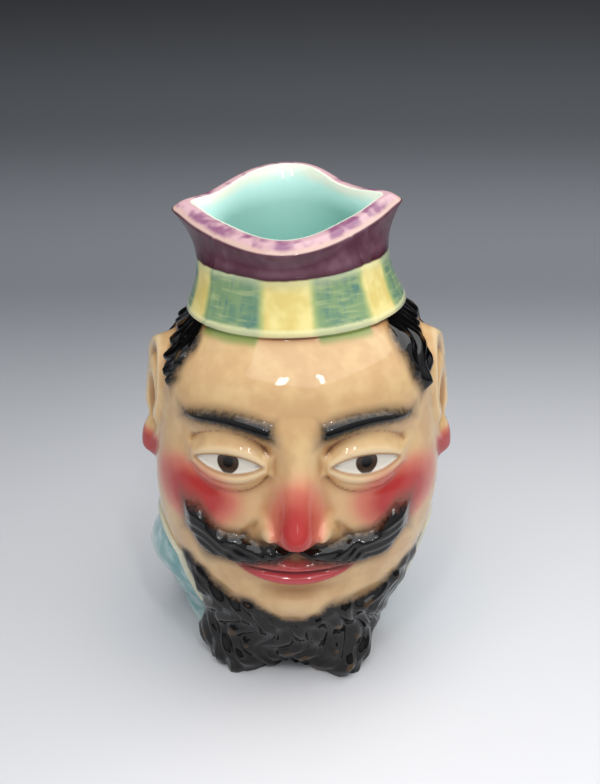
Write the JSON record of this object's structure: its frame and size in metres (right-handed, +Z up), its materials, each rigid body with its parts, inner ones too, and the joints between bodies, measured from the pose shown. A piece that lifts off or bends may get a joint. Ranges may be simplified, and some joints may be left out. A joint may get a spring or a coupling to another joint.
{
  "type": "face mug",
  "caption": "Hollow glazed earthenware mug formed as a bearded man's head, with a banded cap that opens as a pinched pouring mouth and a loop handle behind.",
  "frame": {"origin": "middle of the mug's plan, on the surface that it stands on", "axes": "+Z up, -Y the way the face looks, +X the man's left, with the handle at +Y"},
  "size_m": [0.1232, 0.173, 0.1893],
  "materials": {
    "majolica_glaze": "clear lead glaze, high gloss, over flesh, black, red, purple, green and yellow painting"
  },
  "bodies": {
    "root": {"mug": "majolica_glaze"}
  },
  "joints": []
}
